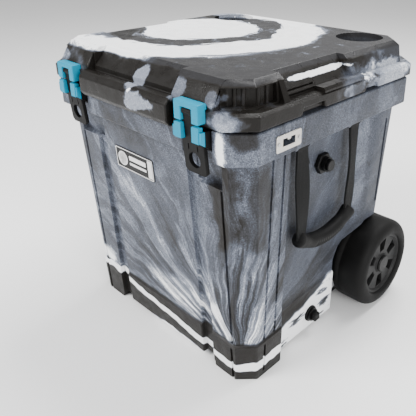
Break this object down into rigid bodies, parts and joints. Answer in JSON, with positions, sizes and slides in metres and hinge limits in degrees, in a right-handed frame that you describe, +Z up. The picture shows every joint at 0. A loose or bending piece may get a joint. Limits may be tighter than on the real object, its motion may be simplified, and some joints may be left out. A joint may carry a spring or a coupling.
{
  "type": "cooler on wheels",
  "caption": "Square hard-sided cooler with a hinged lid, rubber latches, carrying handles, two wheels and a telescoping towing handle.",
  "frame": {"origin": "on the floor, below the middle of the whole object's box", "axes": "+Z up, -Y towards the latches, +Y towards the hinge, wheels and towing handle, +X towards the side with the vent and the drain"},
  "size_m": [0.498, 0.4825, 0.508],
  "materials": {
    "swirl_plastic": "rotomoulded, finely pebbled, swirled grey, white and charcoal",
    "foam": "rigid foam",
    "gasket_rubber": "soft",
    "black_plastic": "satin",
    "steel": "zinc plated",
    "plate_steel": "brushed",
    "blue_plastic": "semi-gloss",
    "strap_rubber": "matte",
    "badge": "printed plate with a light border",
    "webbing": "woven webbing",
    "grip_rubber": "soft, ribbed below",
    "tyre": "matte",
    "hub_plastic": "fine grain",
    "black_tube": "black anodised"
  },
  "bodies": {
    "tub": {"tub_shell": "swirl_plastic", "tub_foam": "foam", "foam_port_plugs": "black_plastic", "hinge_block_left": "black_plastic", "hinge_block_right": "black_plastic", "hinge_rod": "steel", "latch_keeper_left": "blue_plastic", "latch_keeper_right": "blue_plastic", "keeper_screws": "steel", "lock_plate_left": "plate_steel", "lock_plate_right": "plate_steel", "lock_plate_screws": "steel", "badge_plate": "badge", "carry_pins": "steel", "vent_body": "black_plastic", "vent_nut": "black_plastic", "drain_fitting": "black_plastic", "drain_nut": "black_plastic", "axle": "steel", "axle_washers": "steel", "axle_push_caps": "steel", "tow_outer_tube_left": "black_tube", "tow_outer_tube_right": "black_tube", "tow_bracket_lower": "black_plastic", "tow_bracket_upper": "black_plastic", "bracket_screws": "steel"},
    "lid": {"lid_shell": "swirl_plastic", "lid_foam": "foam", "lid_gasket": "gasket_rubber", "lid_port_plug": "black_plastic", "latch_anchor_left": "blue_plastic", "latch_anchor_right": "blue_plastic", "latch_pins": "steel"},
    "latch_left": {"latch_strap_left": "strap_rubber"},
    "latch_right": {"latch_strap_right": "strap_rubber"},
    "carry_handle_left": {"carry_strap_front_left": "webbing", "carry_strap_rear_left": "webbing", "carry_grip_left": "grip_rubber"},
    "carry_handle_right": {"carry_strap_front_right": "webbing", "carry_strap_rear_right": "webbing", "carry_grip_right": "grip_rubber"},
    "vent_push": {"vent_button": "black_plastic"},
    "drain_slider": {"drain_seal": "gasket_rubber"},
    "drain_screw": {"drain_plug": "black_plastic"},
    "wheel_left": {"tyre_left": "tyre", "wheel_hub_left": "hub_plastic", "wheel_bush_left": "black_plastic", "hub_cap_left": "black_plastic"},
    "wheel_right": {"tyre_right": "tyre", "wheel_hub_right": "hub_plastic", "wheel_bush_right": "black_plastic", "hub_cap_right": "black_plastic"},
    "tow_middle": {"tow_middle_tube_left": "black_tube", "tow_middle_tube_right": "black_tube", "tow_collar": "black_plastic"},
    "tow_top": {"tow_inner_tube_left": "black_tube", "tow_inner_tube_right": "black_tube", "tow_grip": "black_plastic"},
    "tow_release": {"tow_button": "black_plastic"}
  },
  "joints": [
    {"name": "lid_hinge", "type": "hinge", "parent": "tub", "child": "lid", "pos_m": [0, 0.212, 0.432], "axis": [1, 0, 0], "range_deg": [-92, 0]},
    {"name": "latch_left_swing", "type": "hinge", "parent": "lid", "child": "latch_left", "pos_m": [-0.148, -0.23, 0.466], "axis": [-1, 0, 0], "range_deg": [0, 100]},
    {"name": "latch_right_swing", "type": "hinge", "parent": "lid", "child": "latch_right", "pos_m": [0.148, -0.23, 0.466], "axis": [-1, 0, 0], "range_deg": [0, 100]},
    {"name": "carry_handle_left_lift", "type": "hinge", "parent": "tub", "child": "carry_handle_left", "pos_m": [-0.212, -0.006, 0.393], "axis": [0, 1, 0], "range_deg": [0, 88]},
    {"name": "carry_handle_right_lift", "type": "hinge", "parent": "tub", "child": "carry_handle_right", "pos_m": [0.212, -0.006, 0.393], "axis": [0, -1, 0], "range_deg": [0, 88]},
    {"name": "vent_press", "type": "slide", "parent": "tub", "child": "vent_push", "axis": [-1, 0, 0], "range_m": [0, 0.003], "stiffness_N_per_m": 400},
    {"name": "drain_travel", "type": "slide", "parent": "tub", "child": "drain_slider", "axis": [1, 0, 0], "range_m": [0, 0.012]},
    {"name": "drain_turn", "type": "hinge", "parent": "drain_slider", "child": "drain_screw", "pos_m": [0.2, -0.006, 0.038], "axis": [-1, 0, 0], "range_deg": [0, 1080]},
    {"name": "wheel_left_spin", "type": "hinge", "parent": "tub", "child": "wheel_left", "pos_m": [-0.212, 0.156, 0.086], "axis": [1, 0, 0], "continuous": true},
    {"name": "wheel_right_spin", "type": "hinge", "parent": "tub", "child": "wheel_right", "pos_m": [0.212, 0.156, 0.086], "axis": [1, 0, 0], "continuous": true},
    {"name": "tow_middle_slide", "type": "slide", "parent": "tub", "child": "tow_middle", "axis": [0, 0.06, 0.9982], "range_m": [0, 0.218]},
    {"name": "tow_top_slide", "type": "slide", "parent": "tow_middle", "child": "tow_top", "axis": [0, 0.06, 0.9982], "range_m": [0, 0.218]},
    {"name": "tow_release_press", "type": "slide", "parent": "tow_top", "child": "tow_release", "axis": [0, -0.06, -0.9982], "range_m": [0, 0.0022], "stiffness_N_per_m": 400}
  ],
  "couplings": [
    {"joint": "drain_travel", "follows": "drain_turn", "m_per_rad": 0.00063662}
  ]
}
